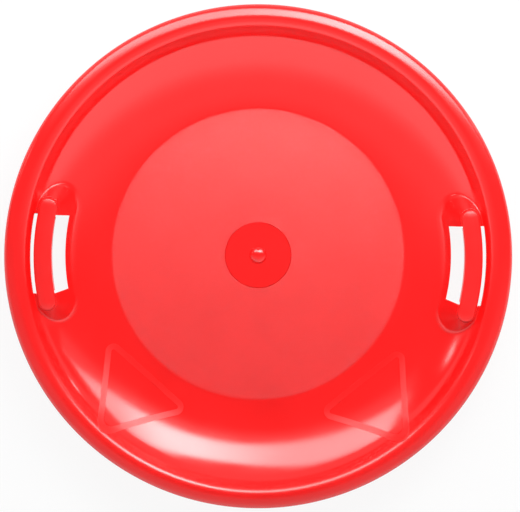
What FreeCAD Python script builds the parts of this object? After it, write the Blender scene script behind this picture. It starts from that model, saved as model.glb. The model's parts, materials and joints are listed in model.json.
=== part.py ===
"""Saucer sled: a round dish with two snap-in grips and a centre cap.

Millimetres and degrees. The axis of the dish is Z, its underside stands on z = 0 and the right grip is at +X.
"""

import FreeCAD, Part
import math
import os

from FreeCAD import Vector

# Dish, from the middle outwards
SHELL = 3.0
FLOOR_RADIUS = 177.0
WALL_RUN = 84.0
UPTURN_RUN = 12.5
CREST_ROUND = 14.0
RIM_ROUND = 40.0
LIP_RUN = 5.2

# Slopes of the dish, upwards positive
FLOOR_EDGE_SLOPE = 6.0
UPTURN_SLOPE = 41.0
CREST_SLOPE = 60.0
RIM_START_SLOPE = -10.0
RIM_END_SLOPE = -20.0
LIP_SLOPE = -80.0

# Grips: pill-shaped bars that follow a circle round the axis of the dish
GRIP_WIDTH = 21.0
GRIP_LENGTH = 135.0
GRIP_SIDE = 0.8
GRIP_EDGE_ROUND = 3.0
GRIP_CROWN_SLOPE = 20.0
GRIP_DEPTH = 16.0
GRIP_WALL = 2.5
GRIP_RIB = 1.8
GRIP_RIB_COUNT = 3
GRIP_RIB_SPACING = 24.0

# Slots round the grips
SLOT_LENGTH = 98.0
SLOT_TO_CREST = 3.6
OUTER_GAP = 4.2
FINGER_GAP = 14.0
SLOT_SPAN = 95.4

# Raised mounts that carry the grips
MOUNT_RISE = 4.7
MOUNT_LEDGE = 1.0
MOUNT_EDGE_ROUND = 0.5
MOUNT_SIDE_SLOPE = 56.0
MOUNT_BACK_MARGIN = 0.5

# Snap plugs under the ends of the grips
SEAT_WIDTH = 1.5
PLUG_DEPTH = 8.0
PLUG_WALL = 2.4
SNAP_REACH = 1.1
SNAP_HEIGHT = 3.0
FIT_CLEARANCE = 0.3

# Centre cap
CAP_RADIUS = 40.0
CAP_THICKNESS = 1.2
CAP_SUNK = 0.5
CAP_CHAMFER = 0.4
NUB_RADIUS = 10.6
NUB_HEIGHT = 5.0
SPIGOT_RADIUS = 8.0
SPIGOT_RAISED = 0.5
PRESS_CLEARANCE = 0.05

# Far enough past the sled for cuts to run clear of it
CLEAR = 100.0
ORIGIN = Vector(0, 0, 0)
UP = Vector(0, 0, 1)
FULL_TURN = 360.0
HALF_TURN = 180.0
SEAM_ANGLE = 90.0


def rise_of_sines(start_slope, end_slope):
    """Difference of the sines of two slopes: the run of an arc of radius 1 between them."""
    return math.sin(math.radians(end_slope)) - math.sin(math.radians(start_slope))


# Radii of the arcs of the wall
WALL_ROUND = WALL_RUN / rise_of_sines(FLOOR_EDGE_SLOPE, UPTURN_SLOPE)
UPTURN_ROUND = UPTURN_RUN / rise_of_sines(UPTURN_SLOPE, CREST_SLOPE)
LIP_ROUND = LIP_RUN / rise_of_sines(LIP_SLOPE, RIM_END_SLOPE)
UPPER_SLOPES = [FLOOR_EDGE_SLOPE, UPTURN_SLOPE, CREST_SLOPE, RIM_START_SLOPE, RIM_END_SLOPE, LIP_SLOPE]
UPPER_ROUNDS = [WALL_ROUND, UPTURN_ROUND, CREST_ROUND, RIM_ROUND, LIP_ROUND]

# Distances from the axis of the dish
UPTURN_RADIUS = FLOOR_RADIUS + WALL_RUN
SLOT_OUTER_RADIUS = UPTURN_RADIUS + UPTURN_RUN - SLOT_TO_CREST
GRIP_OUTER_RADIUS = SLOT_OUTER_RADIUS - OUTER_GAP
HALF_GRIP = GRIP_WIDTH / 2
GRIP_RADIUS = GRIP_OUTER_RADIUS - HALF_GRIP
SLOT_INNER_RADIUS = GRIP_RADIUS - HALF_GRIP - FINGER_GAP

# Crowned top of a grip: the radius of the crown, and the height from the ledge to the top of it
CROWN_SINE = math.sin(math.radians(GRIP_CROWN_SLOPE))
CROWN_COSINE = math.cos(math.radians(GRIP_CROWN_SLOPE))
GRIP_CROWN_ROUND = (HALF_GRIP - GRIP_EDGE_ROUND * (1 - CROWN_SINE)) / CROWN_SINE
GRIP_PLATE = GRIP_SIDE + GRIP_EDGE_ROUND * CROWN_COSINE + GRIP_CROWN_ROUND * (1 - CROWN_COSINE)

# Half widths of what fits together at the ends of a grip
NOTCH_HALF_WIDTH = HALF_GRIP - SEAT_WIDTH
PLUG_HALF_WIDTH = NOTCH_HALF_WIDTH - FIT_CLEARANCE


def wall_height(radius):
    """Height of the upper surface of the wall at a distance from the axis."""
    start, height, slope, bend = FLOOR_RADIUS, SHELL, FLOOR_EDGE_SLOPE, WALL_ROUND
    if radius > UPTURN_RADIUS:
        first, last = math.radians(FLOOR_EDGE_SLOPE), math.radians(UPTURN_SLOPE)
        height += WALL_ROUND * (math.cos(first) - math.cos(last))
        start, slope, bend = UPTURN_RADIUS, UPTURN_SLOPE, UPTURN_ROUND
    sine = math.sin(math.radians(slope)) + (radius - start) / bend
    return height + bend * (math.cos(math.radians(slope)) - math.sqrt(1 - sine ** 2))


def grip_angle(length):
    """Angle that a length takes along the grip's circle."""
    return math.degrees(length / GRIP_RADIUS)


# Levels and angles of the grips
MOUNT_TOP = wall_height(GRIP_OUTER_RADIUS) + MOUNT_RISE
GRIP_TOP = MOUNT_TOP + GRIP_PLATE
GRIP_LOW = GRIP_TOP - GRIP_DEPTH
WALL_HIGH = MOUNT_TOP + GRIP_SIDE
SLOT_HALF_ANGLE = grip_angle(SLOT_LENGTH / 2)
OPEN_HALF_ANGLE = min(SLOT_HALF_ANGLE, math.degrees(math.asin(SLOT_SPAN / 2 / GRIP_OUTER_RADIUS)))
CHANNEL_HALF_ANGLE = OPEN_HALF_ANGLE - grip_angle(FIT_CLEARANCE)
END_ANGLE = grip_angle((GRIP_LENGTH - GRIP_WIDTH) / 2)


def point(r, z):
    """Point of a profile in the plane y = 0."""
    return Vector(r, 0, z)


def lines(*points):
    """Straight edges from point to point."""
    return [Part.makeLine(a, b) for a, b in zip(points, points[1:])]


def box_outline(inner, outer, low, high):
    """Closed rectangle between two distances and two heights."""
    low_in, low_out = point(inner, low), point(outer, low)
    return lines(low_in, low_out, point(outer, high), point(inner, high), low_in)


def arc_run(start, slopes, radii):
    """Arcs that each begin where the last one ends and turn from slope to slope, upwards or downwards."""
    edges = []
    here = start
    for first, last, radius in zip(slopes, slopes[1:], radii):
        a, b = math.radians(first), math.radians(last)
        bend = math.copysign(radius, b - a)
        stops = []
        for slope in ((a + b) / 2, b):
            across = bend * (math.sin(slope) - math.sin(a))
            rise = bend * (math.cos(a) - math.cos(slope))
            stops.append(here + point(across, rise))
        edges.append(Part.Arc(here, *stops).toShape())
        here = stops[1]
    return edges


def start_of(edges):
    """First point of a run of edges."""
    return edges[0].valueAt(edges[0].FirstParameter)


def end_of(edges):
    """Last point of a run of edges."""
    return edges[-1].valueAt(edges[-1].LastParameter)


def turned(edges, axis_at=ORIGIN, angle=FULL_TURN, start=SEAM_ANGLE):
    """Solid swept by a closed profile round a vertical axis, from a start angle on."""
    face = Part.Face(Part.Wire(Part.__sortEdges__(edges)))
    face.rotate(axis_at, UP, start)
    return face.revolve(axis_at, UP, angle)


def sector(inner, outer, low, high, half_angle, middle=0.0):
    """Block between two radii, to half_angle on both sides of its middle."""
    return turned(box_outline(inner, outer, low, high), angle=2 * half_angle, start=middle - half_angle)


def on_middle(edge):
    """True for an edge that lies on the middle line of a half profile."""
    return all(abs(vertex.X) < 1e-6 for vertex in edge.Vertexes)


def pill(edges):
    """Solid of a closed half profile carried along the grip's circle and round both its ends.

    The half profile is drawn from the middle line of the grip outwards.
    """
    middle = point(GRIP_RADIUS, 0)
    half = [edge for edge in edges if not on_middle(edge)]
    whole = half + [edge.mirror(ORIGIN, Vector(1, 0, 0)) for edge in half]
    along = turned([edge.translated(middle) for edge in whole], angle=2 * END_ANGLE, start=-END_ANGLE)
    ends = []
    for side, start in ((1, 0.0), (-1, HALF_TURN)):
        end = turned([edge.translated(middle) for edge in edges], middle, HALF_TURN, start)
        ends.append(end.rotated(ORIGIN, UP, side * END_ANGLE))
    return along.fuse(ends).removeSplitter()


def both_sides(shape):
    """The shape at +X and its half-turn copy at -X."""
    return [shape, shape.rotated(ORIGIN, UP, HALF_TURN)]


def upper_curve():
    """Upper surface of the dish from the edge of the floor to the lip."""
    return arc_run(point(FLOOR_RADIUS, SHELL), UPPER_SLOPES, UPPER_ROUNDS)


def lower_curve():
    """Lower surface of the dish, one wall thickness under the upper one, from z = 0 to the lip."""
    first = math.radians(FLOOR_EDGE_SLOPE)
    under = WALL_ROUND + SHELL
    start_slope = math.acos((SHELL + WALL_ROUND * math.cos(first)) / under)
    start = FLOOR_RADIUS - WALL_ROUND * math.sin(first) + under * math.sin(start_slope)
    turns = zip(UPPER_ROUNDS, UPPER_SLOPES, UPPER_SLOPES[1:])
    rounds = [radius + math.copysign(SHELL, b - a) for radius, a, b in turns]
    return arc_run(point(start, 0), [math.degrees(start_slope)] + UPPER_SLOPES[1:], rounds)


def dish_body():
    """The plain dish: floor, wall and rim of one thickness with a round lip."""
    upper, lower = upper_curve(), lower_curve()
    slope = math.radians(LIP_SLOPE)
    lip_middle = (end_of(upper) + end_of(lower)) * 0.5
    lip_tip = lip_middle + point(math.cos(slope), math.sin(slope)) * (SHELL / 2)
    lip = Part.Arc(end_of(upper), lip_tip, end_of(lower)).toShape()
    floor = lines(start_of(upper), point(0, SHELL), ORIGIN, start_of(lower))
    return turned(upper + lower + floor + [lip])


def space_under_dish():
    """Everything below the lower surface of the dish."""
    lower = lower_curve()
    lip = end_of(lower)
    far = lip.x + CLEAR
    border = lines(lip, point(far, lip.z), point(far, -CLEAR), point(0, -CLEAR), ORIGIN, start_of(lower))
    return turned(lower + border)


def mount_solid(shoulder):
    """Solid under a half profile from the middle of a mount to the start of its sloping side."""
    side = end_of(shoulder)
    foot = point(side.x + (side.z + CLEAR) / math.tan(math.radians(MOUNT_SIDE_SLOPE)), -CLEAR)
    return pill(shoulder + lines(side, foot, point(0, -CLEAR), start_of(shoulder)))


def mount_block():
    """Outer form of a mount: flat top, round edge and sloping side."""
    ledge = point(HALF_GRIP + MOUNT_LEDGE, MOUNT_TOP)
    shoulder = lines(point(0, MOUNT_TOP), ledge)
    return mount_solid(shoulder + arc_run(ledge, [0, -MOUNT_SIDE_SLOPE], [MOUNT_EDGE_ROUND]))


def mount_hollow():
    """Space inside a mount, one wall thickness in, kept clear of the steep wall behind the grip."""
    top = MOUNT_TOP - SHELL
    drawn_in = (SHELL - MOUNT_EDGE_ROUND) * math.tan(math.radians(MOUNT_SIDE_SLOPE / 2))
    corner = point(HALF_GRIP + MOUNT_LEDGE - drawn_in, top)
    limit = Part.makeCylinder(GRIP_OUTER_RADIUS + MOUNT_BACK_MARGIN, 2 * CLEAR, point(0, -CLEAR))
    return mount_solid(lines(point(0, top), corner)).common(limit)


def slot_cutter():
    """Through slot that leaves the finger gaps on both sides of a grip."""
    block = sector(SLOT_INNER_RADIUS, SLOT_OUTER_RADIUS, -CLEAR, CLEAR, SLOT_HALF_ANGLE)
    limit = Part.makeBox(SLOT_OUTER_RADIUS + CLEAR, SLOT_SPAN, 4 * CLEAR, Vector(0, -SLOT_SPAN / 2, -2 * CLEAR))
    return block.common(limit)


def notch_cutter():
    """Opening in the top of a mount for the plugs of a grip."""
    return pill(box_outline(0, NOTCH_HALF_WIDTH, MOUNT_TOP - 2 * SHELL, GRIP_TOP))


def cap_seat():
    """Recess and hole in the floor for the centre cap."""
    recess = CAP_THICKNESS + CAP_SUNK
    seat = Part.makeCylinder(CAP_RADIUS + FIT_CLEARANCE, recess + CLEAR, point(0, SHELL - recess))
    hole = Part.makeCylinder(SPIGOT_RADIUS + PRESS_CLEARANCE, 2 * CLEAR, point(0, -CLEAR))
    return [seat, hole]


def dish():
    """Sled body with both mounts, slots and the seat of the centre cap."""
    mount = mount_block().cut(space_under_dish())
    body = dish_body().fuse(both_sides(mount)).removeSplitter()
    openings = both_sides(mount_hollow()) + both_sides(slot_cutter()) + both_sides(notch_cutter())
    return body.cut(openings + cap_seat())


def grip_plate():
    """Top of a grip: crowned across, with rounded edges."""
    middle_top = point(0, GRIP_TOP)
    crown = arc_run(middle_top, [0, -GRIP_CROWN_SLOPE, -90], [GRIP_CROWN_ROUND, GRIP_EDGE_ROUND])
    rest = lines(end_of(crown), point(HALF_GRIP, MOUNT_TOP), point(0, MOUNT_TOP), middle_top)
    return pill(crown + rest)


def channel_walls():
    """Two side walls under the plate, with round lower edges, over the open length of the slot."""
    half = GRIP_WALL / 2
    low = GRIP_LOW + half
    walls = []
    for inner in (GRIP_RADIUS - HALF_GRIP, GRIP_RADIUS + HALF_GRIP - GRIP_WALL):
        outer = inner + GRIP_WALL
        sides = lines(point(inner, low), point(inner, WALL_HIGH), point(outer, WALL_HIGH), point(outer, low))
        foot = Part.Arc(point(outer, low), point(inner + half, GRIP_LOW), point(inner, low)).toShape()
        walls.append(turned(sides + [foot], angle=2 * CHANNEL_HALF_ANGLE, start=-CHANNEL_HALF_ANGLE))
    return walls


def cross_wall(thickness, middle):
    """Wall of a thickness across the channel at an angle along the grip."""
    reach = HALF_GRIP - GRIP_WALL / 2
    inner, outer = GRIP_RADIUS - reach, GRIP_RADIUS + reach
    return sector(inner, outer, GRIP_LOW + GRIP_WALL / 2, WALL_HIGH, grip_angle(thickness / 2), middle)


def cross_walls():
    """Walls that close the channel at both ends, and evenly spaced ribs between them."""
    end = CHANNEL_HALF_ANGLE - grip_angle(GRIP_WALL / 2)
    walls = [cross_wall(GRIP_WALL, end), cross_wall(GRIP_WALL, -end)]
    for number in range(GRIP_RIB_COUNT):
        place = (number - (GRIP_RIB_COUNT - 1) / 2) * GRIP_RIB_SPACING
        walls.append(cross_wall(GRIP_RIB, grip_angle(place)))
    return walls


def snap_ridge():
    """Ridge round the tip of a plug that clicks under the top of the mount."""
    high = MOUNT_TOP - SHELL - FIT_CLEARANCE
    low = high - SNAP_HEIGHT
    root = PLUG_HALF_WIDTH - PLUG_WALL / 2
    reach = point(PLUG_HALF_WIDTH + SNAP_REACH, high)
    inner_top = point(root, high)
    profile = lines(inner_top, reach, point(PLUG_HALF_WIDTH, low), point(root, low), inner_top)
    middle = point(GRIP_RADIUS, 0)
    ridge = turned([edge.translated(middle) for edge in profile], middle, HALF_TURN, 0.0)
    return ridge.rotated(ORIGIN, UP, END_ANGLE)


def plugs():
    """Hollow plugs at both ends of a grip that fit the notches of the mount."""
    low = MOUNT_TOP - PLUG_DEPTH
    outside = pill(box_outline(0, PLUG_HALF_WIDTH, low, WALL_HIGH))
    inside = pill(box_outline(0, PLUG_HALF_WIDTH - PLUG_WALL, low - CLEAR, WALL_HIGH + CLEAR))
    span = CHANNEL_HALF_ANGLE - grip_angle(GRIP_WALL / 2)
    between = sector(0, GRIP_OUTER_RADIUS + CLEAR, low - CLEAR, WALL_HIGH + CLEAR, span)
    ridge = snap_ridge()
    return [outside.cut([inside, between]), ridge, ridge.mirror(ORIGIN, Vector(0, 1, 0))]


def grip():
    """Right-hand grip."""
    return grip_plate().fuse(channel_walls() + cross_walls() + plugs()).removeSplitter()


def nub_dome(top):
    """Arc of the domed nub from its foot to its top."""
    ball = (NUB_RADIUS ** 2 + NUB_HEIGHT ** 2) / (2 * NUB_HEIGHT)
    halfway = NUB_RADIUS / 2
    middle = point(halfway, top + NUB_HEIGHT - ball + math.sqrt(ball ** 2 - halfway ** 2))
    return Part.Arc(point(NUB_RADIUS, top), middle, point(0, top + NUB_HEIGHT)).toShape()


def centre_cap():
    """Round cap with a domed nub and a spigot pressed into the floor."""
    top = SHELL - CAP_SUNK
    seat = top - CAP_THICKNESS
    dome = nub_dome(top)
    spigot = lines(end_of([dome]), point(0, SPIGOT_RAISED), point(SPIGOT_RADIUS, SPIGOT_RAISED))
    disc = lines(point(SPIGOT_RADIUS, SPIGOT_RAISED), point(SPIGOT_RADIUS, seat), point(CAP_RADIUS, seat),
                 point(CAP_RADIUS, top - CAP_CHAMFER), point(CAP_RADIUS - CAP_CHAMFER, top), start_of([dome]))
    return turned([dome] + spigot + disc)


def main():
    """Write each piece to its own file."""
    right = grip()
    pieces = {
        "dish": dish(),
        "right_grip": right,
        "left_grip": right.rotated(ORIGIN, UP, HALF_TURN),
        "centre_cap": centre_cap(),
    }
    os.makedirs("parts", exist_ok=True)
    for name, shape in pieces.items():
        if len(shape.Solids) != 1 or not shape.isValid():
            raise ValueError(f"{name} is not one sound solid")
        shape.Solids[0].exportStep(f"parts/{name}.step")
        print(name, round(shape.Volume / 1000, 1), "cm3")


main()
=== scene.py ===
"""Saucer sled: looks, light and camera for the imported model.

Lengths are in millimetres, and are turned into metres where something is made of them.
Those of the light and the studio are in metres throughout. Angles are in radians.
"""

import json
import math

import bpy
from mathutils import Matrix, Vector
from mathutils.geometry import delaunay_2d_cdt

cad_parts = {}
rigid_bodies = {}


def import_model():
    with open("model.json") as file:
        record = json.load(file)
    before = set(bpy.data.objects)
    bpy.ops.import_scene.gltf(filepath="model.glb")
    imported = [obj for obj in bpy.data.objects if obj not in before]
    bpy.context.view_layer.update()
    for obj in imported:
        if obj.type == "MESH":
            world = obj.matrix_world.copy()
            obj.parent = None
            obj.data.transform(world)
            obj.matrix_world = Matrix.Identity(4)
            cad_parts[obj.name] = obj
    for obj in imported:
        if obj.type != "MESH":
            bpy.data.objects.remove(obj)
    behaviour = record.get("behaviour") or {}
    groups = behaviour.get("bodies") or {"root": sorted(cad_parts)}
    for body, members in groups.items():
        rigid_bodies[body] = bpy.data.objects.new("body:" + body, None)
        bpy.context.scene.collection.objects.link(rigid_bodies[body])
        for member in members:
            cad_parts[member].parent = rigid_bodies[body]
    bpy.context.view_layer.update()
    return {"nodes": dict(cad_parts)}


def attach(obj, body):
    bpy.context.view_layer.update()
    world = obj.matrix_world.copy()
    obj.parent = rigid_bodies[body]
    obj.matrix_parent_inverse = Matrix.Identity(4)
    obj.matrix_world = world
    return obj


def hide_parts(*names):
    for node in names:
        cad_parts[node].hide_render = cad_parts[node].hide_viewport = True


for leftover in list(bpy.data.objects):
    bpy.data.objects.remove(leftover)
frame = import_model()

MM = 0.001

# Dish, the same values as in the part's source
SHELL = 3.0
FLOOR_RADIUS = 177.0
WALL_RUN = 84.0
UPTURN_RUN = 12.5
CREST_ROUND = 14.0
RIM_ROUND = 40.0
LIP_RUN = 5.2
FLOOR_EDGE_SLOPE = math.radians(6.0)
UPTURN_SLOPE = math.radians(41.0)
CREST_SLOPE = math.radians(60.0)
RIM_START_SLOPE = math.radians(-10.0)
RIM_END_SLOPE = math.radians(-20.0)
LIP_SLOPE = math.radians(-80.0)

# Grips, slots, mounts and cap seat, the same values as in the part's source
GRIP_WIDTH = 21.0
GRIP_LENGTH = 135.0
SLOT_LENGTH = 98.0
SLOT_TO_CREST = 3.6
OUTER_GAP = 4.2
FINGER_GAP = 14.0
SLOT_SPAN = 95.4
MOUNT_RISE = 4.7
MOUNT_LEDGE = 1.0
MOUNT_EDGE_ROUND = 0.5
SEAT_WIDTH = 1.5
FIT_CLEARANCE = 0.3
CAP_RADIUS = 40.0
CAP_THICKNESS = 1.2
CAP_SUNK = 0.5
SPIGOT_RADIUS = 8.0
PRESS_CLEARANCE = 0.05

# Slopes of the mounts and soft radii of the moulding, finer than in the part's source
MOUNT_SIDE_SLOPE = math.radians(62.0)
MOUNT_END_SLOPE = math.radians(44.0)
MOUNT_BLEND = 3.0
MOUNT_APRON = 10.0
MOUNT_APRON_RATE = 1.0
HOLLOW_BLEND = 2.0
SLOT_EDGE_ROUND = 0.8
SEAT_EDGE_ROUND = 0.3

# Dish mesh: columns round the axis, and the window round each grip that is meshed finer
COLUMNS = 360
WINDOW_COLUMNS = 26
WINDOW_INNER_RADIUS = 204.0
FINE_REACH = 45.0
FINE_STEP = 1.3
COARSE_STEP = 2.0
COARSE_TURN_STEP = 2.5
LEDGE_STEP = 1.0
MOUNT_EDGE_STEP = 0.4
SLOT_EDGE_RINGS = (0.1, 0.3, SLOT_EDGE_ROUND)
PILL_END_STEP = math.radians(5.0)
WINDOW_MARGIN = 0.5
SLOT_MARGIN = 0.4
NOTCH_MARGIN = 0.3
PLAN_TOLERANCE = 1e-4

# Mesh corners: decimals that tell two points apart, step for a slope, and least cosine of a smooth corner
POINT_DECIMALS = 3
SLOPE_STEP = 0.02
SMOOTH_COSINE = 0.5

# Mesh steps along the profile of the dish, from the cap's seat over the rim to the underside
SEAT_EDGE_STEP = 0.15
FLOOR_STEP = 20.0
WALL_FOOT_STEP = 2.5
WALL_STEP = 3.0
UPTURN_STEP = 1.0
CREST_STEP = 1.0
RIM_STEP = 2.0
LIP_STEP = 0.9
LIP_END_STEP = 0.4
CREST_UNDER_STEP = 0.8
UNDER_STEP = 4.0

# Triangular frames moulded on the wall
FRAME_AZIMUTH = math.radians(-49.2)
FRAME_BASE_RADIUS = 208.0
FRAME_BASE_HALF_ANGLE = math.radians(17.6)
FRAME_TIP_RADIUS = 282.0
FRAME_BAND = 6.4
FRAME_RAISED = 0.25
FRAME_SUNK = 1.0
FRAME_TIP_ROUND = 14.0
FRAME_CORNER_ROUND = 6.0
FRAME_STEP = 2.0
FRAME_TURN_STEP = math.radians(6.0)


def sine_run(start, end):
    """Run of an arc of radius 1 between two slopes."""
    return math.sin(end) - math.sin(start)


WALL_ROUND = WALL_RUN / sine_run(FLOOR_EDGE_SLOPE, UPTURN_SLOPE)
UPTURN_ROUND = UPTURN_RUN / sine_run(UPTURN_SLOPE, CREST_SLOPE)
LIP_ROUND = LIP_RUN / sine_run(LIP_SLOPE, RIM_END_SLOPE)
UPTURN_RADIUS = FLOOR_RADIUS + WALL_RUN
CREST_RADIUS = UPTURN_RADIUS + UPTURN_RUN
SLOT_OUTER_RADIUS = CREST_RADIUS - SLOT_TO_CREST
HALF_GRIP = GRIP_WIDTH / 2
GRIP_OUTER_RADIUS = SLOT_OUTER_RADIUS - OUTER_GAP
GRIP_RADIUS = GRIP_OUTER_RADIUS - HALF_GRIP
SLOT_INNER_RADIUS = GRIP_RADIUS - HALF_GRIP - FINGER_GAP
SLOT_HALF_ANGLE = SLOT_LENGTH / 2 / GRIP_RADIUS
END_ANGLE = (GRIP_LENGTH - GRIP_WIDTH) / 2 / GRIP_RADIUS
NOTCH_HALF_WIDTH = HALF_GRIP - SEAT_WIDTH

# Centres of the two arcs of the wall, as (radius, height)
WALL_CENTRE = (FLOOR_RADIUS - WALL_ROUND * math.sin(FLOOR_EDGE_SLOPE),
               SHELL + WALL_ROUND * math.cos(FLOOR_EDGE_SLOPE))
UPTURN_CENTRE = (UPTURN_RADIUS - UPTURN_ROUND * math.sin(UPTURN_SLOPE),
                 WALL_CENTRE[1] + (UPTURN_ROUND - WALL_ROUND) * math.cos(UPTURN_SLOPE))


def under_arc(radius, centre, bend):
    """Height of the lower half of a circle at a distance from the axis."""
    return centre[1] - math.sqrt(bend ** 2 - (radius - centre[0]) ** 2)


def wall_height(radius):
    """Upper surface of the dish up to the crest, without the mounts."""
    if radius <= FLOOR_RADIUS:
        return SHELL
    if radius <= UPTURN_RADIUS:
        return under_arc(radius, WALL_CENTRE, WALL_ROUND)
    return under_arc(radius, UPTURN_CENTRE, UPTURN_ROUND)


LOW_TURN_RADIUS = UPTURN_RADIUS + SHELL * math.sin(UPTURN_SLOPE)
LOW_FLOOR_RADIUS = WALL_CENTRE[0] + math.sqrt((WALL_ROUND + SHELL) ** 2 - WALL_CENTRE[1] ** 2)


def low_height(radius):
    """Lower surface of the dish up to the crest, without the hollows of the mounts."""
    if radius <= LOW_FLOOR_RADIUS:
        return 0.0
    if radius <= LOW_TURN_RADIUS:
        return under_arc(radius, WALL_CENTRE, WALL_ROUND + SHELL)
    return under_arc(radius, UPTURN_CENTRE, UPTURN_ROUND + SHELL)


MOUNT_TOP = wall_height(GRIP_OUTER_RADIUS) + MOUNT_RISE


def smooth_max(a, b, blend):
    """Larger of two heights, with the crease between them filled in."""
    overlap = max(blend - abs(a - b), 0.0)
    return max(a, b) + overlap ** 2 / (4 * blend)


def grip_distance(x, y):
    """Distance in plan from the middle line of the nearer grip."""
    x = abs(x)
    angle = math.atan2(y, x)
    if abs(angle) <= END_ANGLE:
        return abs(math.hypot(x, y) - GRIP_RADIUS)
    end = math.copysign(END_ANGLE, angle)
    return math.hypot(x - GRIP_RADIUS * math.cos(end), y - GRIP_RADIUS * math.sin(end))


def mount_slope(x, y):
    """Slope of the nearer mount's side, easier past its ends than beside it."""
    x, y = abs(x), abs(y)
    if math.atan2(y, x) <= END_ANGLE:
        return MOUNT_SIDE_SLOPE
    along = y * math.cos(END_ANGLE) - x * math.sin(END_ANGLE)
    share = (along / grip_distance(x, y)) ** 2
    side, end = math.tan(MOUNT_SIDE_SLOPE), math.tan(MOUNT_END_SLOPE)
    return math.atan(side + (end - side) * share)


def mound(past, top, slope, edge_round):
    """Height at a distance past the edge of a flat top with a round edge and sloping side."""
    if past <= 0:
        return top
    turn = edge_round * math.sin(slope)
    if past <= turn:
        return top - edge_round + math.sqrt(edge_round ** 2 - past ** 2)
    drop = edge_round * (1 - math.cos(slope))
    return top - drop - (past - turn) * math.tan(slope)


def slot_distance(x, y):
    """Distance in plan to the edge of the nearer slot, negative inside it."""
    radius = math.hypot(x, y)
    past_turn = (abs(math.atan2(y, abs(x))) - SLOT_HALF_ANGLE) * radius
    past_end = max(past_turn, abs(y) - SLOT_SPAN / 2)
    past_side = max(radius - SLOT_OUTER_RADIUS, SLOT_INNER_RADIUS - radius)
    return math.hypot(max(past_end, 0.0), max(past_side, 0.0)) + min(max(past_end, past_side), 0.0)


def edge_drop(distance):
    """How far a rounded edge has dropped at a distance from the cut beside it."""
    short = SLOT_EDGE_ROUND - max(distance, 0.0)
    if short <= 0:
        return 0.0
    return SLOT_EDGE_ROUND - math.sqrt(SLOT_EDGE_ROUND ** 2 - short ** 2)


def top_height(x, y):
    """Upper surface of the dish with its mounts and rounded slot edges."""
    radius, distance = math.hypot(x, y), grip_distance(x, y)
    past = distance - HALF_GRIP - MOUNT_LEDGE
    rise = mound(past, MOUNT_TOP, mount_slope(x, y), MOUNT_EDGE_ROUND)
    inward = max(GRIP_RADIUS - radius, 0.0) / max(distance, HALF_GRIP)
    apron = min(max(past, 0.0) * MOUNT_APRON_RATE, MOUNT_APRON)
    height = smooth_max(wall_height(radius), rise, MOUNT_BLEND + apron * inward ** 2)
    return height - edge_drop(slot_distance(x, y))


def under_height(x, y):
    """Lower surface of the dish with the hollows of its mounts."""
    slope = mount_slope(x, y)
    drawn_in = (SHELL - MOUNT_EDGE_ROUND) * math.tan(slope / 2)
    past = grip_distance(x, y) - HALF_GRIP - MOUNT_LEDGE + drawn_in
    rise = mound(past, MOUNT_TOP - SHELL, slope, HOLLOW_BLEND)
    return smooth_max(low_height(math.hypot(x, y)), rise, HOLLOW_BLEND)


def height_normal(height, x, y):
    """Upward normal of a height function."""
    step = SLOPE_STEP
    across = (height(x + step, y) - height(x - step, y)) / (2 * step)
    along = (height(x, y + step) - height(x, y - step)) / (2 * step)
    return Vector((-across, -along, 1.0)).normalized()


class MeshMaker:
    """Collects faces with a normal for each corner and makes them into one object."""

    def __init__(self):
        self.places = {}
        self.points = []
        self.faces = []
        self.normals = []

    def index(self, point):
        """Number of the vertex at a point, which is made if it is new."""
        key = tuple(round(value, POINT_DECIMALS) for value in point)
        if key not in self.places:
            self.places[key] = len(self.points)
            self.points.append(Vector(point))
        return self.places[key]

    def face(self, points, normals):
        """Add a face."""
        self.faces.append([self.index(point) for point in points])
        self.normals.extend(normals)

    def object(self, name):
        """The faces so far as an object of the scene."""
        mesh = bpy.data.meshes.new(name)
        mesh.from_pydata([point * MM for point in self.points], [], self.faces)
        mesh.normals_split_custom_set([tuple(normal) for normal in self.normals])
        made = bpy.data.objects.new(name, mesh)
        bpy.context.scene.collection.objects.link(made)
        return made


def column_angle(column):
    """Angle of a column of the dish mesh."""
    return 2 * math.pi * column / COLUMNS


def polar(radius, angle):
    """Point in plan."""
    return (radius * math.cos(angle), radius * math.sin(angle))


def in_window(column):
    """True where the cell from this column to the next belongs to a window round a grip."""
    half = COLUMNS // 2
    return (column + WINDOW_COLUMNS) % half < 2 * WINDOW_COLUMNS


def spaced(start, end, step):
    """Values from start to end in equal steps of about the given size."""
    count = max(1, round(abs(end - start) / step))
    return [start + (end - start) * number / count for number in range(count + 1)]


def arc_profile(start, first, last, bend, step):
    """Points and normals along an arc of the profile that turns from slope to slope."""
    turn = math.copysign(bend, last - first)
    samples = []
    for slope in spaced(first, last, step / bend):
        across = turn * (math.sin(slope) - math.sin(first))
        rise = turn * (math.cos(first) - math.cos(slope))
        samples.append(((start[0] + across, start[1] + rise), (-math.sin(slope), math.cos(slope))))
    return samples


def rim_profiles():
    """Runs of the profile from the crest over the rim and lip and back under them."""
    turns = [
        (CREST_SLOPE, RIM_START_SLOPE, CREST_ROUND, CREST_STEP),
        (RIM_START_SLOPE, RIM_END_SLOPE, RIM_ROUND, RIM_STEP),
        (RIM_END_SLOPE, LIP_SLOPE, LIP_ROUND, LIP_STEP),
    ]
    upper = []
    here = (CREST_RADIUS, wall_height(CREST_RADIUS))
    for first, last, bend, step in turns:
        run = arc_profile(here, first, last, bend, step)
        here = run[-1][0]
        upper.append(run)
    lip = arc_profile(here, LIP_SLOPE, LIP_SLOPE - math.pi, SHELL / 2, LIP_END_STEP)
    lower = []
    for run in reversed(upper):
        under = []
        for (radius, height), (across, rise) in reversed(run):
            under.append(((radius - SHELL * across, height - SHELL * rise), (-across, -rise)))
        lower.append(under)
    return upper + [lip] + lower


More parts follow.
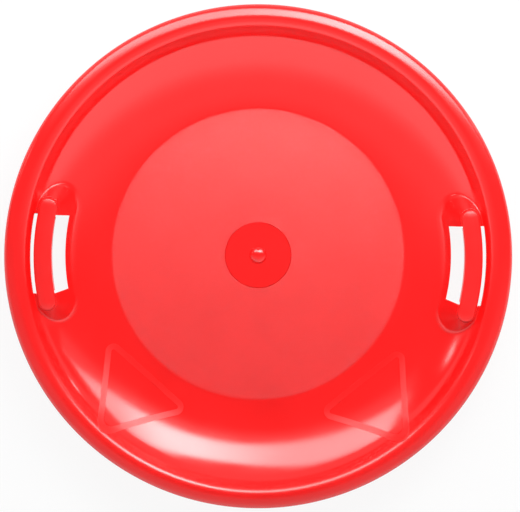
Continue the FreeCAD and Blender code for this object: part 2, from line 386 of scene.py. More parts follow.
def turned_strip(maker, samples, columns):
    """Faces of a profile run turned round the axis, over the given columns."""
    for column in columns:
        a, b = column_angle(column), column_angle(column + 1)
        for (p, n), (q, m) in zip(samples, samples[1:]):
            corners = [(p, n, a), (q, m, a), (q, m, b), (p, n, b)]
            points = [(*polar(place[0], angle), place[1]) for place, _, angle in corners]
            normals = [(*polar(normal[0], angle), normal[1]) for _, normal, angle in corners]
            maker.face(points, normals)


def height_samples(radii, height, sign):
    """Profile samples along radii of a height function that is the same all round."""
    samples = []
    for radius in radii:
        normal = height_normal(lambda x, y: height(math.hypot(x, y)), radius, 0.0) * sign
        samples.append(((radius, height(radius)), (normal.x, normal.z)))
    return samples


def straight_samples(start, end):
    """Profile samples of a straight run with one normal, on the left of its direction."""
    along = Vector((end[0] - start[0], end[1] - start[1])).normalized()
    normal = (-along.y, along.x)
    return [(start, normal), (end, normal)]


def seat_profile():
    """Runs of the profile of the cap's hole and recess, from the underside to the floor."""
    hole = SPIGOT_RADIUS + PRESS_CLEARANCE
    seat = CAP_RADIUS + FIT_CLEARANCE
    low = SHELL - CAP_SUNK - CAP_THICKNESS
    edge = SHELL - SEAT_EDGE_ROUND
    return [
        straight_samples((hole, 0.0), (hole, low)),
        straight_samples((hole, low), (seat, low)),
        straight_samples((seat, low), (seat, edge)),
        arc_profile((seat, edge), math.pi / 2, 0.0, SEAT_EDGE_ROUND, SEAT_EDGE_STEP),
    ]


def window_radii():
    """Radii of the mesh rows that the windows share with the rest of the dish."""
    wall = spaced(WINDOW_INNER_RADIUS, UPTURN_RADIUS, WALL_STEP)
    return wall + spaced(UPTURN_RADIUS, CREST_RADIUS, UPTURN_STEP)[1:]


def slot_outline(grown):
    """Outline of the right-hand slot, grown by a distance."""
    outer, inner = SLOT_OUTER_RADIUS + grown, SLOT_INNER_RADIUS - grown
    half_span = SLOT_SPAN / 2 + grown
    bend = half_span / math.sin(SLOT_HALF_ANGLE + grown / GRIP_RADIUS)
    outer_corner = polar(outer, math.asin(half_span / outer))
    bend_corner = polar(bend, math.asin(half_span / bend))
    inner_corner = polar(inner, SLOT_HALF_ANGLE + grown / inner)
    end = [outer_corner, bend_corner, inner_corner]
    return divided(end + [(x, -y) for x, y in end[::-1]], FINE_STEP)


def divided(outline, step):
    """Closed outline with its long runs divided, evenly in angle and radius round the axis."""
    points = []
    for a, b in zip(outline, outline[1:] + outline[:1]):
        radius_a, radius_b = math.hypot(*a), math.hypot(*b)
        angle_a, angle_b = math.atan2(a[1], a[0]), math.atan2(b[1], b[0])
        count = max(1, math.ceil(math.dist(a, b) / step))
        for number in range(count):
            share = number / count
            radius = radius_a + (radius_b - radius_a) * share
            points.append(polar(radius, angle_a + (angle_b - angle_a) * share))
    return points


def pill_outline(distance):
    """Outline at a distance from the middle line of the right-hand grip."""
    points = []
    side_angles = spaced(-END_ANGLE, END_ANGLE, 2 * FINE_STEP / GRIP_RADIUS)
    turns = spaced(0.0, math.pi, PILL_END_STEP)[1:-1]
    end = polar(GRIP_RADIUS, END_ANGLE)
    points.extend(polar(GRIP_RADIUS + distance, angle) for angle in side_angles)
    for turn in turns:
        across, along = polar(distance, END_ANGLE + turn)
        points.append((end[0] + across, end[1] + along))
    points.extend(polar(GRIP_RADIUS - distance, -angle) for angle in side_angles)
    for turn in turns:
        across, along = polar(distance, math.pi - END_ANGLE + turn)
        points.append((end[0] + across, -end[1] + along))
    return points


def window_outline():
    """Points of the window's border, shared with the rows and columns round it."""
    radii = window_radii()
    columns = range(-WINDOW_COLUMNS, WINDOW_COLUMNS + 1)
    inner = [polar(radii[0], column_angle(column)) for column in columns]
    outer = [polar(radii[-1], column_angle(column)) for column in columns]
    last = [polar(radius, column_angle(WINDOW_COLUMNS)) for radius in radii[1:-1]]
    first = [polar(radius, column_angle(-WINDOW_COLUMNS)) for radius in radii[1:-1]]
    return outer + last[::-1] + inner[::-1] + first


def window_points():
    """Points inside the window: rings round the grip, then rows and columns further out."""
    half_angle = column_angle(WINDOW_COLUMNS)
    edge = HALF_GRIP + MOUNT_LEDGE
    turn = MOUNT_EDGE_ROUND * math.sin(MOUNT_SIDE_SLOPE)
    distances = spaced(NOTCH_HALF_WIDTH + LEDGE_STEP, edge, LEDGE_STEP)
    distances += spaced(edge, edge + turn, MOUNT_EDGE_STEP)[1:]
    distances += spaced(edge + turn, FINE_REACH, FINE_STEP)[1:]
    points = []
    for distance in distances:
        points.extend(pill_outline(distance))
    for radius in spaced(WINDOW_INNER_RADIUS, CREST_RADIUS, COARSE_STEP)[1:-1]:
        for angle in spaced(-half_angle, half_angle, COARSE_TURN_STEP / GRIP_RADIUS)[1:-1]:
            place = polar(radius, angle)
            if grip_distance(*place) > FINE_REACH + FINE_STEP:
                points.append(place)
    inside = []
    for x, y in points:
        radius, angle = math.hypot(x, y), abs(math.atan2(y, x))
        clear = min(radius - WINDOW_INNER_RADIUS, CREST_RADIUS - radius, (half_angle - angle) * radius)
        if clear > WINDOW_MARGIN and slot_distance(x, y) > SLOT_EDGE_ROUND + SLOT_MARGIN:
            inside.append((x, y))
    return inside


def opened(x, y):
    """True inside the slot or the notch for the plugs."""
    return slot_distance(x, y) < 0 or grip_distance(x, y) < NOTCH_HALF_WIDTH


def window_plan():
    """Triangles of the right-hand window in plan, with the slot and notch left open."""
    points, edges = [], []

    def add(outline, closed):
        first = len(points)
        points.extend(outline)
        if closed:
            count = len(outline)
            edges.extend((first + number, first + (number + 1) % count) for number in range(count))

    add(window_outline(), True)
    add(slot_outline(0.0), True)
    add(pill_outline(NOTCH_HALF_WIDTH), True)
    past_notch = NOTCH_HALF_WIDTH + NOTCH_MARGIN
    for grown in SLOT_EDGE_RINGS:
        add([place for place in slot_outline(grown) if grip_distance(*place) > past_notch], False)
    add(window_points(), False)
    plan = delaunay_2d_cdt([Vector(place) for place in points], edges, [], 1, PLAN_TOLERANCE)
    places = []
    for place, sources in zip(plan[0], plan[3]):
        places.append(points[sources[0]] if sources else (place.x, place.y))
    triangles = []
    for face in plan[2]:
        middle = [sum(places[index][axis] for index in face) / 3 for axis in (0, 1)]
        if not opened(*middle):
            triangles.append([places[index] for index in face])
    return triangles


def facing_up(triangle):
    """The triangle with its corners anticlockwise in plan."""
    (ax, ay), (bx, by), (cx, cy) = triangle
    area = (bx - ax) * (cy - ay) - (cx - ax) * (by - ay)
    return triangle if area > 0 else triangle[::-1]


def open_edges(triangles):
    """Edges of the plan that belong to one triangle and border the slot or the notch."""
    seen = {}
    for triangle in triangles:
        for a, b in zip(triangle, triangle[1:] + triangle[:1]):
            seen[(a, b)] = True
    border = set(window_outline())
    return [(a, b) for a, b in seen if (b, a) not in seen and not (a in border and b in border)]


def window_faces(maker, triangles, turn):
    """Both surfaces of a window and the walls of its openings; turn is 1 at +X and -1 at -X."""

    def lift(place, height):
        x, y = place[0] * turn, place[1] * turn
        return (x, y, height(x, y))

    for triangle in triangles:
        for height, sign in ((top_height, 1), (under_height, -1)):
            points = [lift(place, height) for place in triangle[::sign]]
            a, b, c = (Vector(point) for point in points)
            flat = (b - a).cross(c - a).normalized()
            smooth = [height_normal(height, x, y) * sign for x, y, _ in points]
            maker.face(points, [normal if normal.dot(flat) > SMOOTH_COSINE else flat for normal in smooth])
    for a, b in open_edges(triangles):
        out = Vector((b[1] - a[1], a[0] - b[0], 0.0)).normalized() * turn
        points = [lift(b, top_height), lift(a, top_height), lift(a, under_height), lift(b, under_height)]
        maker.face(points, [out] * 4)


def dish_object():
    """The dish as one closed mesh with smooth normals."""
    maker = MeshMaker()
    everywhere = range(COLUMNS)
    outside = [column for column in everywhere if not in_window(column)]
    for run in seat_profile():
        turned_strip(maker, run, everywhere)
    seat_edge = CAP_RADIUS + FIT_CLEARANCE + SEAT_EDGE_ROUND
    floor = spaced(seat_edge, FLOOR_RADIUS, FLOOR_STEP)
    floor += spaced(FLOOR_RADIUS, WINDOW_INNER_RADIUS, WALL_FOOT_STEP)[1:]
    rows = window_radii()
    turned_strip(maker, height_samples(floor, wall_height, 1), everywhere)
    turned_strip(maker, height_samples(rows, wall_height, 1), outside)
    for run in rim_profiles():
        turned_strip(maker, run, everywhere)
    crest_under = CREST_RADIUS + SHELL * math.sin(CREST_SLOPE)
    steep = spaced(crest_under, CREST_RADIUS, CREST_UNDER_STEP)
    under_floor = [SPIGOT_RADIUS + PRESS_CLEARANCE, FLOOR_RADIUS / 2, LOW_FLOOR_RADIUS]
    under_floor += spaced(LOW_FLOOR_RADIUS, WINDOW_INNER_RADIUS, UNDER_STEP)[1:]
    turned_strip(maker, height_samples(steep, low_height, -1), everywhere)
    turned_strip(maker, height_samples(rows[::-1], low_height, -1), outside)
    turned_strip(maker, height_samples(under_floor[::-1], low_height, -1), everywhere)
    triangles = [facing_up(triangle) for triangle in window_plan()]
    for turn in (1, -1):
        window_faces(maker, triangles, turn)
    return maker.object("sled_dish")


def frame_outline():
    """Middle line of the right-hand triangular frame in plan, with round corners."""
    base_angles = (FRAME_AZIMUTH - FRAME_BASE_HALF_ANGLE, FRAME_AZIMUTH + FRAME_BASE_HALF_ANGLE)
    corners = [
        (Vector(polar(FRAME_BASE_RADIUS, base_angles[0])), FRAME_CORNER_ROUND),
        (Vector(polar(FRAME_TIP_RADIUS, FRAME_AZIMUTH)), FRAME_TIP_ROUND),
        (Vector(polar(FRAME_BASE_RADIUS, base_angles[1])), FRAME_CORNER_ROUND),
    ]
    outline = []
    for number, (corner, bend) in enumerate(corners):
        before = (corners[number - 1][0] - corner).normalized()
        after = (corners[(number + 1) % 3][0] - corner).normalized()
        half = before.angle(after) / 2
        centre = corner + (before + after).normalized() * (bend / math.sin(half))
        start = corner + before * (bend / math.tan(half)) - centre
        sweep = start.angle_signed(corner + after * (bend / math.tan(half)) - centre)
        for turn in spaced(0.0, sweep, FRAME_TURN_STEP):
            outline.append(centre + Matrix.Rotation(-turn, 2) @ start)
    points = []
    for a, b in zip(outline, outline[1:] + outline[:1]):
        count = max(1, round((b - a).length / FRAME_STEP))
        points.extend(a.lerp(b, number / count) for number in range(count))
    return points


def on_wall(place, raised):
    """Point raised from the wall along its normal."""
    normal = height_normal(lambda x, y: wall_height(math.hypot(x, y)), place.x, place.y)
    return Vector((place.x, place.y, wall_height(place.length))) + normal * raised


def frame_object(name, side):
    """Raised band round a triangular panel of the wall; side is 1 at +X and -1 at -X."""
    maker = MeshMaker()
    outline = frame_outline()
    half = FRAME_BAND / 2
    foot = half + FRAME_RAISED
    right = [(half, FRAME_RAISED), (foot, 0.0), (foot, -FRAME_SUNK)]
    section = [(-shift, raised) for shift, raised in right[::-1]] + [(0.0, FRAME_RAISED)] + right
    count = len(outline)
    rings = []
    for number, place in enumerate(outline):
        along = (outline[(number + 1) % count] - outline[number - 1]).normalized()
        across = Vector((along.y, -along.x))
        rings.append([on_wall(place + across * shift, raised) for shift, raised in section])
    for ring, following in zip(rings, rings[1:] + rings[:1]):
        steps = list(range(len(section))) + [0]
        for a, b in zip(steps, steps[1:]):
            corners = [ring[a], following[a], following[b], ring[b]]
            points = [Vector((point.x * side, point.y, point.z)) for point in corners]
            if side > 0:
                points.reverse()
            flat = (points[1] - points[0]).cross(points[3] - points[0]).normalized()
            maker.face(points, [flat] * 4)
    return maker.object(name)


def add_node(tree, kind, inputs=None, **settings):
    """New shader node with its settings, linked inputs and constant inputs."""
    made = tree.nodes.new(kind)
    for key, value in settings.items():
        setattr(made, key, value)
    for key, value in (inputs or {}).items():
        if isinstance(value, bpy.types.NodeSocket):
            tree.links.new(value, made.inputs[key])
        else:
            made.inputs[key].default_value = value
    return made


def new_material(name):
    """Empty node material and its tree."""
    material = bpy.data.materials.new(name)
    material.use_nodes = True
    material.node_tree.nodes.clear()
    return material, material.node_tree


def noise(tree, coords, scale, detail=2.0):
    """Noise between 0 and 1 at a number of features per metre."""
    made = add_node(tree, "ShaderNodeTexNoise", {"Vector": coords, "Scale": scale, "Detail": detail})
    return made.outputs["Fac"]


def mapped(tree, value, low, high, to_low, to_high):
    """Value carried from one range to another, eased at both ends."""
    made = add_node(tree, "ShaderNodeMapRange", {
        "Value": value, "From Min": low, "From Max": high, "To Min": to_low, "To Max": to_high,
    }, interpolation_type="SMOOTHSTEP")
    return made.outputs["Result"]


def math_node(tree, operation, a, b):
    """Result of an arithmetic node."""
    return add_node(tree, "ShaderNodeMath", {0: a, 1: b}, operation=operation).outputs[0]


def mixed_colour(tree, share, a, b):
    """Colour between two colours."""
    made = add_node(tree, "ShaderNodeMix", {0: share, 6: a, 7: b}, data_type="RGBA")
    return made.outputs[2]


def blended(tree, share, a, b):
    """Number between two numbers."""
    return add_node(tree, "ShaderNodeMix", {0: share, 2: a, 3: b}).outputs[0]


def uneven(tree, coords, finish):
    """Roughness that wanders between the limits of a finish."""
    scale, low, high = finish
    return mapped(tree, noise(tree, coords, scale), *NOISE_RANGE, low, high)


def bump(tree, height, strength, depth, normal=None):
    """Normal of a surface roughened by a height, on top of another bump's normal if there is one."""
    inputs = {"Height": height, "Strength": strength, "Distance": depth * MM}
    if normal:
        inputs["Normal"] = normal
    return add_node(tree, "ShaderNodeBump", inputs).outputs[0]


def metres(lengths):
    """Lengths in metres, as shaders have them."""
    return [length * MM for length in lengths]


WHITE = (1.0, 1.0, 1.0, 1.0)
RED = (0.90, 0.0074, 0.0078, 1.0)
DEEP_RED = (0.85, 0.0060, 0.0060, 1.0)
PLASTIC_IOR = 1.65
COAT_IOR = 1.6

# Finish of each surface: features per metre, lowest and highest roughness; or one value for all of it
FLOOR_FINISH = (30.0, 0.12, 0.16)
WALL_FINISH = (25.0, 0.10, 0.15)
RIM_FINISH = (35.0, 0.19, 0.23)
MOUNT_FINISH = (45.0, 0.22, 0.26)
GRIP_FINISH = (40.0, 0.28, 0.36)
CAP_FINISH = (40.0, 0.10, 0.16)
FRAME_FINISH = (60.0, 0.33, 0.35)
NUB_ROUGHNESS = 0.15
FLOOR_COAT_ROUGHNESS = 0.12

# Specular level of the frames at the floor and further up
FRAME_SHINE = (0.26, 0.5)

# Where one finish passes into the next: radii, heights and distances
FLOOR_EDGE_FADE = (FLOOR_RADIUS - 2.5, FLOOR_RADIUS + 2.3)
FLOOR_SKIN_FADE = (SHELL - 1.0, SHELL - 0.4)
RIM_FADE = (CREST_RADIUS - 3.5, CREST_RADIUS + 2.5)
MOUNT_FADE = (25.0, 36.0)
MOUNT_FADE_RADIUS = 252.0
NUB_FADE = (10.0, 11.2)
FRAME_FADE = (200.0, 226.0)

# Grain, moulding marks and streaks in the colour: features per metre, strength and depth
FLOOR_GRAIN = 3000.0
FLOOR_GRAIN_DEPTH = 0.3
FRAME_GRAIN = 1100.0
FRAME_GRAIN_STRENGTH = 0.3
FRAME_GRAIN_DEPTH = 0.3
DISH_PEEL = 60.0
GLOSS_PEEL = 90.0
PEEL_STRENGTH = 0.08
PEEL_DEPTH = 0.2
FLOW_STREAKS = 11.0
FLOW_DETAIL = 3.0

# Values of a noise over which a finish, or the colour, goes from one end to the other
NOISE_RANGE = (0.2, 0.8)
FLOW_RANGE = (0.3, 0.7)


def plastic(name, roughness_of, bump_of, coat_of=None, shine_of=None):
    """Moulded red plastic; the functions add what differs from piece to piece."""
    material, tree = new_material(name)
    coords = add_node(tree, "ShaderNodeTexCoord").outputs["Object"]
    flow = mapped(tree, noise(tree, coords, FLOW_STREAKS, FLOW_DETAIL), *FLOW_RANGE, 0.0, 1.0)
    normal = bump_of(tree, coords)
    shader = add_node(tree, "ShaderNodeBsdfPrincipled", {
        "Base Color": mixed_colour(tree, flow, RED, DEEP_RED),
        "Roughness": roughness_of(tree, coords), "Normal": normal, "IOR": PLASTIC_IOR,
    })
    if coat_of:
        tree.links.new(coat_of(tree, coords), shader.inputs["Coat Weight"])
        tree.links.new(normal, shader.inputs["Coat Normal"])
        shader.inputs["Coat Roughness"].default_value = FLOOR_COAT_ROUGHNESS
        shader.inputs["Coat IOR"].default_value = COAT_IOR
    if shine_of:
        tree.links.new(shine_of(tree, coords), shader.inputs["Specular IOR Level"])
    output = add_node(tree, "ShaderNodeOutputMaterial")
    tree.links.new(shader.outputs[0], output.inputs["Surface"])
    return material


def length_of(tree, vector):
    """Length of a vector."""
    return add_node(tree, "ShaderNodeVectorMath", {0: vector}, operation="LENGTH").outputs["Value"]


def plan_radius(tree, coords):
    """Distance from the axis of the dish."""
    flat = add_node(tree, "ShaderNodeVectorMath", {0: coords, 1: (1.0, 1.0, 0.0)}, operation="MULTIPLY")
    return length_of(tree, flat.outputs[0])


def floor_share(tree, coords):
    """1 on the grained floor of the bowl, 0 on the glossy wall and on the underside."""
    height = add_node(tree, "ShaderNodeSeparateXYZ", {0: coords}).outputs["Z"]
    inside = mapped(tree, plan_radius(tree, coords), *metres(FLOOR_EDGE_FADE), 1.0, 0.0)
    above = mapped(tree, height, *metres(FLOOR_SKIN_FADE), 0.0, 1.0)
    return math_node(tree, "MULTIPLY", inside, above)


def mount_share(tree, coords):
    """1 on the mounts of the grips, fading to 0 round them."""
    size = add_node(tree, "ShaderNodeVectorMath", {0: coords}, operation="ABSOLUTE").outputs[0]
    parts = add_node(tree, "ShaderNodeSeparateXYZ", {0: size}).outputs
    across = math_node(tree, "SUBTRACT", parts["X"], MOUNT_FADE_RADIUS * MM)
    past_end = math_node(tree, "SUBTRACT", parts["Y"], (GRIP_LENGTH - GRIP_WIDTH) / 2 * MM)
    along = math_node(tree, "MAXIMUM", past_end, 0.0)
    away = add_node(tree, "ShaderNodeCombineXYZ", {"X": across, "Y": along}).outputs[0]
    return mapped(tree, length_of(tree, away), *metres(MOUNT_FADE), 1.0, 0.0)


def dish_roughness(tree, coords):
    """Grained floor, glossy wall, and mounts and rim dulled by handling, all a little uneven."""
    floor = uneven(tree, coords, FLOOR_FINISH)
    wall = uneven(tree, coords, WALL_FINISH)
    rim = uneven(tree, coords, RIM_FINISH)
    mount = uneven(tree, coords, MOUNT_FINISH)
    wall = blended(tree, mount_share(tree, coords), wall, mount)
    outer = mapped(tree, plan_radius(tree, coords), *metres(RIM_FADE), 0.0, 1.0)
    return blended(tree, floor_share(tree, coords), blended(tree, outer, wall, rim), floor)


def dish_bump(tree, coords):
    """Fine grain on the floor and a faint unevenness everywhere."""
    grain = math_node(tree, "MULTIPLY", noise(tree, coords, FLOOR_GRAIN), floor_share(tree, coords))
    grained = bump(tree, grain, 1.0, FLOOR_GRAIN_DEPTH)
    return bump(tree, noise(tree, coords, DISH_PEEL), PEEL_STRENGTH, PEEL_DEPTH, grained)


def grip_roughness(tree, coords):
    """Satin plastic, a little uneven from wear."""
    return uneven(tree, coords, GRIP_FINISH)


def cap_roughness(tree, coords):
    """Glossy disc with its own finish on the nub."""
    disc = uneven(tree, coords, CAP_FINISH)
    nub = mapped(tree, plan_radius(tree, coords), *metres(NUB_FADE), 1.0, 0.0)
    return blended(tree, nub, disc, NUB_ROUGHNESS)


def gloss_bump(tree, coords):
    """Faint unevenness of a glossy moulding."""
    return bump(tree, noise(tree, coords, GLOSS_PEEL), PEEL_STRENGTH, PEEL_DEPTH)


def frame_roughness(tree, coords):
    """Satin finish of the moulded bands."""
    return uneven(tree, coords, FRAME_FINISH)


def frame_shine(tree, coords):
    """Specular level of the moulded bands, lower towards the floor."""
    return mapped(tree, plan_radius(tree, coords), *metres(FRAME_FADE), *FRAME_SHINE)


def frame_bump(tree, coords):
    """Grain of the moulded bands."""
    return bump(tree, noise(tree, coords, FRAME_GRAIN), FRAME_GRAIN_STRENGTH, FRAME_GRAIN_DEPTH)


def dress(piece, material):
    """Give a piece one material."""
    piece.data.materials.clear()
    piece.data.materials.append(material)


# Softbox on the far side that leans over the sled: its lower edge, length, lean, ends and brightness
SOFTBOX_AWAY = 0.914
SOFTBOX_LOW = 0.556
SOFTBOX_LENGTH = 0.89
SOFTBOX_LEAN = math.radians(45.0)
SOFTBOX_LEFT = -0.87
SOFTBOX_RIGHT = 1.85
SOFTBOX_RADIANCE = 12.0

# Pattern of the softbox, in metres across and up it on scales that are eased at both ends
SOFTBOX_FADE = (0.46, 0.64)
SOFTBOX_TAIL = 0.08
SOFTBOX_FOOT = 0.03
SOFTBOX_TAPER_START = 0.75
SOFTBOX_TAPER_DROP = 0.19
SOFTBOX_TAPER_CLIMB = 0.37
SOFTBOX_LEFT_START = -0.4
SOFTBOX_LEFT_DROP = 0.1
SOFTBOX_DENT = -0.04
SOFTBOX_DENT_REACH = 0.6
SOFTBOX_DENT_CLIMB = 0.075
SOFTBOX_HOT_SPOT = 0.25
SOFTBOX_HOT_FLAT = 0.05
SOFTBOX_HOT_REACH = 0.7
SOFTBOX_BASE = 0.45

# Two small lamps at the sides: place, size and brightness
LEFT_LAMP_PLACE = (-1.343, 0.393, 0.695)
LEFT_LAMP_SIZE = (0.13, 0.05)
LEFT_LAMP_RADIANCE = 18.0
RIGHT_LAMP_PLACE = (1.077, 0.604, 0.124)
RIGHT_LAMP_SIZE = (0.07, 0.1)
RIGHT_LAMP_RADIANCE = 9.0

# Room: brightness overhead, of the ceiling and wall on the near side, and low on the far side
ROOM_DIM = 0.19
ROOM_CEILING = 0.55
ROOM_WALL = 1.28
ROOM_FAR = 0.42

# Where these set in, as the run towards the near side for each unit of height
ROOM_CEILING_FADE = (0.0, 0.6)
ROOM_WALL_FADE = (0.7, 1.8)
ROOM_FAR_FADE = (-2.2, -1.5)
ROOM_HORIZON = 0.02

# Studio floor: just under the sled, pale in bounced light and nearly white where it is seen
STUDIO_FLOOR_RADIUS = 12.0
STUDIO_FLOOR_DROP = 0.0003
STUDIO_FLOOR_STRIDE = 5
STUDIO_FLOOR_PALE = (0.85, 0.85, 0.85, 1.0)
STUDIO_FLOOR_WHITE_SHARE = 0.9


def floor_material():
    """Pale floor that keeps a soft shadow, and is nearly white behind the sled."""
    material, tree = new_material("studio_floor")
    rays = add_node(tree, "ShaderNodeLightPath").outputs
    seen = math_node(tree, "MAXIMUM", rays["Is Camera Ray"], rays["Is Glossy Ray"])
    seen = math_node(tree, "MAXIMUM", seen, rays["Is Transmission Ray"])
    pale = add_node(tree, "ShaderNodeBsdfDiffuse", {"Color": STUDIO_FLOOR_PALE})
    white = add_node(tree, "ShaderNodeEmission", {"Color": WHITE})
    share = math_node(tree, "MULTIPLY", seen, STUDIO_FLOOR_WHITE_SHARE)
    mix = add_node(tree, "ShaderNodeMixShader", {0: share, 1: pale.outputs[0], 2: white.outputs[0]})
    output = add_node(tree, "ShaderNodeOutputMaterial")
    tree.links.new(mix.outputs[0], output.inputs["Surface"])
    return material


def studio_floor():
    """Wide round floor under the sled."""
    mesh = bpy.data.meshes.new("studio_floor")
    angles = [column_angle(column) for column in range(0, COLUMNS, STUDIO_FLOOR_STRIDE)]
    rim = [(*polar(STUDIO_FLOOR_RADIUS, angle), -STUDIO_FLOOR_DROP) for angle in angles]
    mesh.from_pydata(rim, [], [range(len(rim))])
    made = bpy.data.objects.new("studio_floor", mesh)
    bpy.context.scene.collection.objects.link(made)
    dress(made, floor_material())


def area_lamp(name, width, height, radiance, place, turn):
    """Rectangular lamp of a radiance that the camera does not see."""
    lamp = bpy.data.lights.new(name, "AREA")
    lamp.shape = "RECTANGLE"
    lamp.size = width
    lamp.size_y = height
    lamp.energy = radiance * math.pi * width * height
    made = bpy.data.objects.new(name, lamp)
    bpy.context.scene.collection.objects.link(made)
    made.location = place
    made.rotation_euler = turn
    made.visible_camera = False
    return lamp


def away_from(tree, value, middle):
    """How far a value lies from a middle."""
    return math_node(tree, "ABSOLUTE", math_node(tree, "SUBTRACT", value, middle), 0.0)


def softbox_strength(tree):
    """Share of the brightness at a place: a hot spot, fading upwards, with tapered ends and a soft foot."""
    place = add_node(tree, "ShaderNodeNewGeometry").outputs["Parametric"]
    parts = add_node(tree, "ShaderNodeSeparateXYZ", {0: place}).outputs
    across = mapped(tree, parts["X"], 0.0, 1.0, SOFTBOX_RIGHT, SOFTBOX_LEFT)
    level = mapped(tree, parts["Y"], 0.0, 1.0, 0.0, SOFTBOX_LENGTH)
    right_drop = mapped(tree, across, SOFTBOX_TAPER_START, SOFTBOX_RIGHT, 0.0, SOFTBOX_TAPER_DROP)
    left_drop = mapped(tree, across, SOFTBOX_LEFT, SOFTBOX_LEFT_START, SOFTBOX_LEFT_DROP, 0.0)
    lowered = math_node(tree, "ADD", level, math_node(tree, "ADD", right_drop, left_drop))
    upward = mapped(tree, lowered, *SOFTBOX_FADE, 1.0, SOFTBOX_TAIL)
    tail = mapped(tree, level, SOFTBOX_FADE[1], SOFTBOX_LENGTH, 1.0, 0.0)
    right_climb = mapped(tree, across, SOFTBOX_TAPER_START, SOFTBOX_RIGHT, 0.0, SOFTBOX_TAPER_CLIMB)
    from_dent = away_from(tree, across, SOFTBOX_DENT)
    dent_climb = mapped(tree, from_dent, 0.0, SOFTBOX_DENT_REACH, SOFTBOX_DENT_CLIMB, 0.0)
    raised = math_node(tree, "SUBTRACT", level, math_node(tree, "ADD", right_climb, dent_climb))
    foot = mapped(tree, raised, -SOFTBOX_FOOT, SOFTBOX_FOOT, 0.0, 1.0)
    from_hot_spot = away_from(tree, across, SOFTBOX_HOT_SPOT)
    sideways = mapped(tree, from_hot_spot, SOFTBOX_HOT_FLAT, SOFTBOX_HOT_REACH, 1.0, SOFTBOX_BASE)
    upright = math_node(tree, "MULTIPLY", math_node(tree, "MULTIPLY", upward, tail), foot)
    return math_node(tree, "MULTIPLY", upright, sideways)


def softbox():
    """Wide lamp that leans over the sled from the far side."""
    width = SOFTBOX_RIGHT - SOFTBOX_LEFT
    half = SOFTBOX_LENGTH / 2
    middle_x = (SOFTBOX_LEFT + SOFTBOX_RIGHT) / 2
    middle_y = SOFTBOX_AWAY - half * math.sin(SOFTBOX_LEAN)
    middle_z = SOFTBOX_LOW + half * math.cos(SOFTBOX_LEAN)
    turn = (math.pi / 2 - SOFTBOX_LEAN, 0.0, math.pi)
    middle = (middle_x, middle_y, middle_z)
    lamp = area_lamp("softbox", width, SOFTBOX_LENGTH, SOFTBOX_RADIANCE, middle, turn)
    lamp.use_nodes = True
    tree = lamp.node_tree
    tree.nodes.clear()
    strength = softbox_strength(tree)
    light = add_node(tree, "ShaderNodeEmission", {"Color": WHITE, "Strength": strength})
    output = add_node(tree, "ShaderNodeOutputLight")
    tree.links.new(light.outputs[0], output.inputs["Surface"])


def small_lamp(name, place, size, radiance):
    """Small lamp far to one side that draws a streak on the opposite wall."""
    turn = Vector(place).to_track_quat("Z", "Y").to_euler()
    area_lamp(name, *size, radiance, place, turn)


def studio_world():
    """Dim room with a pale wall on the near side; the camera itself sees plain white."""
    world = bpy.data.worlds.new("studio_world")
    bpy.context.scene.world = world
    world.use_nodes = True
    tree = world.node_tree
    tree.nodes.clear()
    way = add_node(tree, "ShaderNodeTexCoord").outputs["Generated"]
    parts = add_node(tree, "ShaderNodeSeparateXYZ", {0: way}).outputs
    height = math_node(tree, "MAXIMUM", parts["Z"], ROOM_HORIZON)
    nearness = math_node(tree, "DIVIDE", math_node(tree, "MULTIPLY", parts["Y"], -1.0), height)
    ceiling = mapped(tree, nearness, *ROOM_CEILING_FADE, ROOM_DIM, ROOM_CEILING)
    wall = mapped(tree, nearness, *ROOM_WALL_FADE, 0.0, ROOM_WALL - ROOM_CEILING)
    far = mapped(tree, nearness, *ROOM_FAR_FADE, ROOM_FAR, 0.0)
    room = math_node(tree, "ADD", math_node(tree, "ADD", ceiling, wall), far)
    seen = add_node(tree, "ShaderNodeLightPath").outputs["Is Camera Ray"]
    strength = blended(tree, seen, room, 1.0)
    light = add_node(tree, "ShaderNodeBackground", {"Color": WHITE, "Strength": strength})
    output = add_node(tree, "ShaderNodeOutputWorld")
    tree.links.new(light.outputs[0], output.inputs["Surface"])


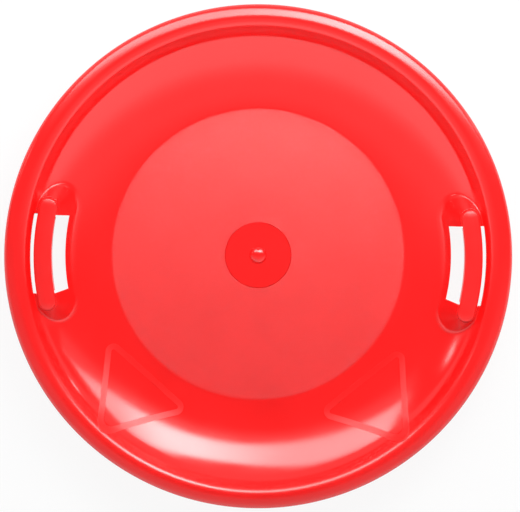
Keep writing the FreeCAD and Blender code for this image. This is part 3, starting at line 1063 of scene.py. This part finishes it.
# Camera: where it looks, how it leans and turns, its lens, and how far it sees in metres
CAMERA_TARGET = (2.09, 2.60, 30.0)
CAMERA_DISTANCE = 2180.3
CAMERA_LEAN = math.radians(7.091)
CAMERA_LEAN_AZIMUTH = math.radians(-2.456)
CAMERA_ROLL = math.radians(1.663)
CAMERA_LENS = 126.5
CAMERA_CLIP_END = 100.0


def camera():
    """Long-lens camera above the sled, leaning a little to the far side."""
    aside = math.sin(CAMERA_LEAN) * math.sin(CAMERA_LEAN_AZIMUTH)
    beyond = math.sin(CAMERA_LEAN) * math.cos(CAMERA_LEAN_AZIMUTH)
    back = Vector((aside, beyond, math.cos(CAMERA_LEAN)))
    level = Vector((0, 1, 0)).cross(back).normalized()
    upright = back.cross(level)
    right = level * math.cos(CAMERA_ROLL) + upright * math.sin(CAMERA_ROLL)
    up = upright * math.cos(CAMERA_ROLL) - level * math.sin(CAMERA_ROLL)
    lens = bpy.data.cameras.new("camera")
    lens.lens = CAMERA_LENS
    lens.sensor_fit = "HORIZONTAL"
    lens.clip_end = CAMERA_CLIP_END
    made = bpy.data.objects.new("camera", lens)
    bpy.context.scene.collection.objects.link(made)
    place = (Vector(CAMERA_TARGET) + back * CAMERA_DISTANCE) * MM
    turn = Matrix((right, up, back)).transposed().to_4x4()
    made.matrix_world = Matrix.Translation(place) @ turn
    bpy.context.scene.camera = made


dish = dish_object()
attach(dish, "root")
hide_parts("dish")
dress(dish, plastic("dish_plastic_look", dish_roughness, dish_bump, floor_share))
band_look = plastic("frame_plastic_look", frame_roughness, frame_bump, shine_of=frame_shine)
for name, side in (("right_wall_frame", 1), ("left_wall_frame", -1)):
    band = frame_object(name, side)
    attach(band, "root")
    dress(band, band_look)
grip_look = plastic("grip_plastic_look", grip_roughness, gloss_bump)
dress(frame["nodes"]["left_grip"], grip_look)
dress(frame["nodes"]["right_grip"], grip_look)
dress(frame["nodes"]["centre_cap"], plastic("cap_plastic_look", cap_roughness, gloss_bump))

studio_floor()
softbox()
small_lamp("left_lamp", LEFT_LAMP_PLACE, LEFT_LAMP_SIZE, LEFT_LAMP_RADIANCE)
small_lamp("right_lamp", RIGHT_LAMP_PLACE, RIGHT_LAMP_SIZE, RIGHT_LAMP_RADIANCE)
studio_world()
camera()
bpy.context.scene.view_settings.view_transform = "Standard"
